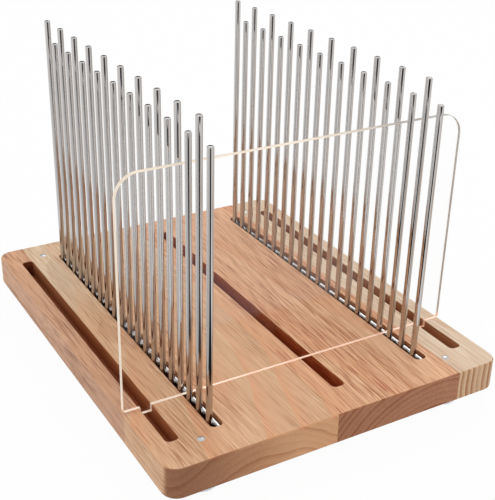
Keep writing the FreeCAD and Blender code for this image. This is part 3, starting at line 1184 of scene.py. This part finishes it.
@dataclass
class Comb:
    """Twenty upright rods and the rail that they are welded to. Sizes are in metres."""

    side: Side
    rods: int = 20
    chamfer: float = 0.5 * MM
    soft_edge: float = 0.12 * MM
    soft_steps: int = 2
    rail_round: float = 1.8 * MM
    rail_steps: int = 5
    around: int = 48

    def build(self, steel: bpy.types.Material) -> None:
        """Makes every rod and the rail.

        Args:
            steel: The steel material.
        """
        for number in range(1, self.rods + 1):
            self.build_rod(f"guide_rod_{self.side.value}_{number:02d}", steel)
        self.build_rail(f"comb_rail_{self.side.value}", steel)

    def build_rod(self, node: str, steel: bpy.types.Material) -> None:
        """An upright bar, chamfered at both ends, as tall and thick as its CAD node.

        Args:
            node: The CAD node.
            steel: The steel material.
        """
        low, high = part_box(node)
        radius, length = (high.x - low.x) / 2, high.z - low.z
        c = self.chamfer
        corners = np.array(
            [
                [0, 0], [radius - c, 0], [radius, c],
                [radius, length - c], [radius - c, length], [0, length],
            ]
        )  # fmt: skip
        radii = np.full(len(corners), self.soft_edge)
        profile = soften(corners, radii, self.soft_steps, closed=False)
        rod = turned(f"{node}_bar", profile, middle_below(low, high), UP, self.around)
        finish_piece(rod, node, Body.BOARD, [steel])

    def build_rail(self, node: str, steel: bpy.types.Material) -> None:
        """A level bar along Y with rounded ends.

        Args:
            node: The CAD node.
            steel: The steel material.
        """
        low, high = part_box(node)
        radius, length = (high.x - low.x) / 2, high.y - low.y
        corners = np.array([[0, 0], [radius, 0], [radius, length], [0, length]])
        radii = np.full(len(corners), self.rail_round)
        profile = soften(corners, radii, self.rail_steps, closed=False)
        base = Vector(((low.x + high.x) / 2, low.y, (low.z + high.z) / 2))
        rail = turned(f"{node}_bar", profile, base, ALONG, self.around)
        finish_piece(rail, node, Body.BOARD, [steel])


@dataclass
class StopPlate:
    """The clear plate, with two tabs that drop into the guide slots. Sizes are in metres."""

    shoulder: float = 11.0 * MM
    tab_width: float = 7.6 * MM
    tab_depth: float = 4.7 * MM
    corner_radius: float = 15.0 * MM
    foot_radius: float = 2.0 * MM
    corner_steps: int = 14
    edge_round: float = 0.3 * MM
    edge_steps: int = 3
    crease: float = 35.0

    def outline(self, low: Vector, high: Vector) -> np.ndarray:
        """The plate's outline in x and z, anticlockwise as the front is looked at.

        Args:
            low: Lowest corner of the CAD node.
            high: Highest corner of the CAD node.

        Returns:
            One row for each point.
        """
        left, right, top = low.x, high.x, high.z
        seat = low.z + self.tab_depth
        outer, inner = self.shoulder, self.shoulder + self.tab_width
        corners = np.array(
            [
                [left, seat], [left + outer, seat], [left + outer, low.z], [left + inner, low.z],
                [left + inner, seat], [right - inner, seat], [right - inner, low.z],
                [right - outer, low.z], [right - outer, seat], [right, seat], [right, top],
                [left, top],
            ]
        )  # fmt: skip
        f, c = self.foot_radius, self.corner_radius
        radii = np.array([f, 0, 0, 0, 0, 0, 0, 0, 0, f, c, c])
        return soften(corners, radii, self.corner_steps, closed=True)

    @staticmethod
    def inset(outline: np.ndarray, distance: float) -> np.ndarray:
        """An outline moved inwards by the same distance everywhere.

        A point with outward unit normals n1 and n2 of its two sides moves by
        -distance (n1 + n2) / (1 + n1 . n2).

        Args:
            outline: Anticlockwise points.
            distance: How far inwards.

        Returns:
            The moved points.
        """
        after = np.roll(outline, -1, axis=0) - outline
        after /= np.linalg.norm(after, axis=1, keepdims=True)
        normal = np.stack([after[:, 1], -after[:, 0]], axis=1)
        previous = np.roll(normal, 1, axis=0)
        together = 1 + np.sum(normal * previous, axis=1, keepdims=True)
        return outline - distance * (normal + previous) / together

    def build(self, face: bpy.types.Material, edge: bpy.types.Material) -> None:
        """The outline carried through the plate's thickness, with its rims rounded.

        Ring k has depth y(k) and inset d(k) along a quarter circle at each rim. The two faces
        close the first and last rings. The plate casts no shadow, as clear plastic hardly
        darkens what is behind it.

        Args:
            face: Material of the two faces.
            edge: Material of the edge all round.
        """
        low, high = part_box("stop_plate")
        outline = self.outline(low, high)
        quarter = np.linspace(0, np.pi / 2, self.edge_steps + 1)
        r = self.edge_round
        front_depth = low.y + r * (1 - np.sin(quarter))
        inset = r * (1 - np.cos(quarter))
        depths = np.concatenate([front_depth[::-1], (low.y + high.y) - front_depth])
        insets = np.concatenate([inset[::-1], inset])
        around = len(outline)
        rings: list[np.ndarray] = []
        for depth, distance in zip(depths, insets):
            flat = self.inset(outline, distance)
            rings.append(np.column_stack([flat[:, 0], np.full(around, depth), flat[:, 1]]))
        bands = band_faces(len(rings), around).tolist()
        last = (len(rings) - 1) * around
        faces = [list(range(around)), [last + j for j in reversed(range(around))]]
        faces += [band[::-1] for band in bands]
        plate = new_piece("stop_plate_sheet", np.concatenate(rings), faces, self.crease)
        finish_piece(plate, "stop_plate", Body.PLATE, [face, edge])
        on_edge = np.ones(len(faces), dtype=np.int32)
        on_edge[:2] = 0
        plate.data.polygons.foreach_set("material_index", on_edge)
        plate.data.polygons.foreach_set("use_smooth", on_edge.astype(bool))
        plate.visible_shadow = False
        plate.visible_diffuse = False


@dataclass
class FootSet:
    """Four clear feet, each held by a screw from above. Sizes are in metres."""

    base_radius: float = 10.0 * MM
    base_round: float = 1.2 * MM
    top_round: float = 0.3 * MM
    hole_round: float = 0.15 * MM
    hole_radius: float = 1.45 * MM
    hole_depth: float = 6.5 * MM
    round_steps: int = 6
    shank_radius: float = 1.4 * MM
    head_height: float = 0.9 * MM
    dome_steps: int = 9
    around: int = 56

    def build(self, plastic: bpy.types.Material, steel: bpy.types.Material) -> None:
        """Makes every foot and its screw.

        Args:
            plastic: Material of the feet.
            steel: Material of the screws.
        """
        for end in End:
            for side in Side:
                self.build_foot(f"foot_{end.value}_{side.value}", plastic)
                self.build_screw(f"foot_screw_{end.value}_{side.value}", steel)

    def build_foot(self, node: str, plastic: bpy.types.Material) -> None:
        """A short taper with a rounded lower edge and a blind hole for the screw.

        Args:
            node: The CAD node.
            plastic: The plastic material.
        """
        low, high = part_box(node)
        top_radius, height = (high.x - low.x) / 2, high.z - low.z
        hole_floor = height - self.hole_depth
        corners = np.array(
            [
                [0, 0], [self.base_radius, 0], [top_radius, height], [self.hole_radius, height],
                [self.hole_radius, hole_floor], [0, hole_floor],
            ]
        )  # fmt: skip
        radii = np.array([0, self.base_round, self.top_round, self.hole_round, 0, 0])
        profile = soften(corners, radii, self.round_steps, closed=False)
        foot = turned(f"{node}_pad", profile, middle_below(low, high), UP, self.around)
        finish_piece(foot, node, Body.BOARD, [plastic])

    def build_screw(self, node: str, steel: bpy.types.Material) -> None:
        """A shank with a low domed head.

        The dome is part of a circle through the rim and the crown: with the rim radius R and
        the height h its radius is (R^2 + h^2) / 2h.

        Args:
            node: The CAD node.
            steel: The steel material.
        """
        low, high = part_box(node)
        rim, crown = (high.x - low.x) / 2, high.z - low.z
        seat = crown - self.head_height
        ball = (rim**2 + self.head_height**2) / (2 * self.head_height)
        swing = math.asin(rim / ball)
        angles = np.linspace(swing, 0, self.dome_steps + 1)
        dome = np.stack([ball * np.sin(angles), crown - ball + ball * np.cos(angles)], axis=1)
        shank = np.array([[0, 0], [self.shank_radius, 0], [self.shank_radius, seat], [rim, seat]])
        profile = np.concatenate([shank, dome[1:]])
        profile[-1, 0] = 0.0
        screw = turned(f"{node}_head", profile, middle_below(low, high), UP, self.around)
        finish_piece(screw, node, Body.BOARD, [steel])


# ---------------------------------------------------------------- studio


@dataclass(frozen=True)
class Card:
    """A glowing card that shows in polished steel and in nothing else.

    Its unevenness is features per metre, and its spread is the lowest and highest share of the
    level.
    """

    name: str
    corners: tuple[Point, ...]
    level: float
    tint: Colour = WHITE
    unevenness: float = 2.0
    spread: Span = (0.9, 1.1)

    def build(self) -> None:
        """Makes the card, with a level that varies a little over it."""
        card = new_piece(self.name, np.array(self.corners), [list(range(len(self.corners)))])
        material, g, shader = new_material(self.name)
        shader.inputs["Base Color"].default_value = (*BLACK, 1.0)
        shader.inputs["Specular IOR Level"].default_value = 0.0
        shader.inputs["Emission Strength"].default_value = 1.0
        place = g.node("ShaderNodeTexCoord").outputs["Object"]
        level = g.vary(g.noise(place, self.unevenness, 1.0), self.level, self.spread)
        red, green, blue = (g.times(level, share) for share in self.tint)
        g.feed(shader.inputs["Emission Color"], g.join(red, green, blue))
        card.data.materials.append(material)
        for ray in ("camera", "diffuse", "shadow", "transmission"):
            setattr(card, f"visible_{ray}", False)
        LOG.info("%s glows at %.2f", self.name, self.level)


@dataclass(frozen=True)
class Lamp:
    """A square soft lamp: where it is, what it looks at, its side in metres and its power."""

    name: str
    place: Point
    aim: Point
    size: float
    watts: float

    def build(self) -> None:
        """Makes the lamp, hidden from the camera."""
        light = bpy.data.lights.new(self.name, "AREA")
        light.size = self.size
        light.energy = self.watts
        lamp = bpy.data.objects.new(self.name, light)
        lamp.location = self.place
        ahead = Vector(self.aim) - Vector(self.place)
        lamp.rotation_euler = ahead.to_track_quat("-Z", "Y").to_euler()
        lamp.visible_camera = False
        bpy.context.scene.collection.objects.link(lamp)
        LOG.info("%s has %.1f W", self.name, self.watts)


@dataclass
class Studio:
    """Floor, sky, cards and lamps. Sizes are in metres.

    The rods look down at the floor, so their dark lines are a dark card that lies there. It
    fans out from the left comb towards the camera's foot and past it. A grey card lies on its
    left, and an upright dark one stands far behind them, as the unlit end of a room. The back
    has the same three, turned half round, and a warm grey card lies on the right.
    """

    floor_size: float = 14.0
    floor_colour: Colour = (0.86, 0.86, 0.86)
    floor_roughness: float = 0.9
    white_share: float = 0.965
    sky_level: float = 0.72
    card_height: float = 0.001
    dark_card: Outline = (
        (-0.14, -0.12), (-0.19, -0.25), (-0.3, -0.4), (-0.58, -0.67), (-1.15, -1.3),
        (-0.22, -1.3), (-0.08, -0.67), (-0.07, -0.4), (-0.02, -0.28), (0.0, -0.2),
        (-0.02, -0.168), (-0.14, -0.168),
    )  # fmt: skip
    grey_card: Outline = (
        (-0.9, 0.02), (-1.8, -1.3), (-1.15, -1.3), (-0.58, -0.67), (-0.3, -0.4),
        (-0.19, -0.25), (-0.14, -0.12), (-0.14, 0.02),
    )  # fmt: skip
    room_card: tuple[Point, ...] = (
        (-1.3, -1.35, 0.02), (0.4, -1.35, 0.02), (0.4, -1.35, 0.8), (-1.3, -1.35, 0.8),
    )  # fmt: skip
    warm_card: Outline = ((0.14, -0.6), (1.6, -0.6), (1.6, 1.2), (0.14, 1.2))
    dark_level: float = 0.02
    grey_level: float = 0.75
    warm_level: float = 0.85
    warm_tint: Colour = (1.0, 0.88, 0.78)
    lamps: tuple[Lamp, ...] = (
        Lamp("lamp_above", (0.5, 0.6, 1.3), (0.0, 0.0, 0.05), 1.1, 5.4),
        Lamp("lamp_fill", (-0.9, -0.5, 0.8), (0.0, 0.0, 0.05), 0.9, 1.2),
    )

    def build(self) -> None:
        """Makes the whole studio."""
        self.build_floor()
        self.build_sky()
        self.build_cards()
        for lamp in self.lamps:
            lamp.build()

    @staticmethod
    def seen_directly(g: Graph) -> Socket:
        """A switch for what is seen, as against what is lit.

        Args:
            g: The graph of a material or the world.

        Returns:
            1 for camera, glossy and transmission rays, 0 for the rest.
        """
        path = g.node("ShaderNodeLightPath")
        seen = g.math("MAXIMUM", path.outputs["Is Camera Ray"], path.outputs["Is Glossy Ray"])
        return g.math("MAXIMUM", seen, path.outputs["Is Transmission Ray"])

    def lying(self, outline: Outline) -> tuple[Point, ...]:
        """An outline in x and y, laid just above the floor."""
        return tuple((x, y, self.card_height) for x, y in outline)

    def build_cards(self) -> None:
        """Three cards in front of the board, the same three behind it, and one on the right."""
        cards = (
            ("dark", self.lying(self.dark_card), self.dark_level),
            ("grey", self.lying(self.grey_card), self.grey_level),
            ("room", self.room_card, self.dark_level),
        )
        for end, turn in ((End.FRONT, 1.0), (End.BACK, -1.0)):
            for name, corners, level in cards:
                placed = tuple((x * turn, y * turn, z) for x, y, z in corners)
                Card(f"card_{name}_{end.value}", placed, level).build()
        warm = self.lying(self.warm_card)
        Card("card_warm_right", warm, self.warm_level, self.warm_tint).build()

    def build_floor(self) -> None:
        """A pale floor that shows white and keeps a soft shadow."""
        half = self.floor_size / 2
        points = np.array([[-half, -half, 0], [half, -half, 0], [half, half, 0], [-half, half, 0]])
        floor = new_piece("studio_floor", points, [[0, 1, 2, 3]])
        material, g, shader = new_material("studio_floor")
        shader.inputs["Base Color"].default_value = (*self.floor_colour, 1.0)
        shader.inputs["Roughness"].default_value = self.floor_roughness
        shader.inputs["Specular IOR Level"].default_value = 0.0
        white = g.node("ShaderNodeEmission")
        white.inputs["Color"].default_value = (*WHITE, 1.0)
        both = g.node("ShaderNodeMixShader")
        g.feed(both.inputs[0], g.times(self.seen_directly(g), self.white_share))
        g.feed(both.inputs[1], shader.outputs[0])
        g.feed(both.inputs[2], white.outputs[0])
        out = next(n for n in material.node_tree.nodes if n.type == "OUTPUT_MATERIAL")
        g.feed(out.inputs["Surface"], both.outputs[0])
        floor.data.materials.append(material)
        LOG.info("floor is %.1f m wide", self.floor_size)

    def build_sky(self) -> None:
        """An even sky that shows white and lights at its own level."""
        world = bpy.data.worlds.new("studio_sky")
        bpy.context.scene.world = world
        world.use_nodes = True
        g = Graph(world.node_tree)
        sky = next(n for n in world.node_tree.nodes if n.type == "BACKGROUND")
        extra = g.times(self.seen_directly(g), 1.0 - self.sky_level)
        g.feed(sky.inputs["Strength"], g.plus(extra, self.sky_level))
        sky.inputs["Color"].default_value = (*WHITE, 1.0)
        LOG.info("sky lights at %.2f", self.sky_level)


@dataclass
class StudioCamera:
    """The camera's place and direction, its lens and sensor in millimetres, and its reach."""

    place: Point = (-0.30091, -0.53078, 0.37454)
    ahead: Point = (0.45930356, 0.76959022, -0.44358893)
    up: Point = (0.2065099, 0.39318455, 0.89596851)
    lens: float = 70.54
    sensor: float = 36.0
    reach: Span = (0.01, 50.0)

    def build(self) -> None:
        """Makes the camera and hands it to the scene."""
        data = bpy.data.cameras.new("studio_camera")
        data.lens, data.sensor_width, data.sensor_fit = self.lens, self.sensor, "AUTO"
        data.clip_start, data.clip_end = self.reach
        camera = bpy.data.objects.new("studio_camera", data)
        ahead, up = Vector(self.ahead).normalized(), Vector(self.up).normalized()
        right = ahead.cross(up).normalized()
        turn = Matrix((right, right.cross(ahead), -ahead)).transposed().to_4x4()
        camera.matrix_world = Matrix.Translation(Vector(self.place)) @ turn
        bpy.context.scene.collection.objects.link(camera)
        bpy.context.scene.camera = camera
        LOG.info("camera has a %.1f mm lens", self.lens)


def main() -> None:
    """Builds the object and its studio, in order."""
    logging.basicConfig(level=logging.INFO, format="%(message)s")
    bpy.context.scene.view_settings.view_transform = "Standard"
    StudioCamera().build()
    Studio().build()
    Board().dress()
    rod_steel = ROD_STEEL.make()
    for side in Side:
        Comb(side).build(rod_steel)
    StopPlate().build(PLATE_FACE.make(), PLATE_EDGE.make())
    FootSet().build(FOOT_PLASTIC.make(), SCREW_STEEL.make())


if __name__ == "__main__":
    main()
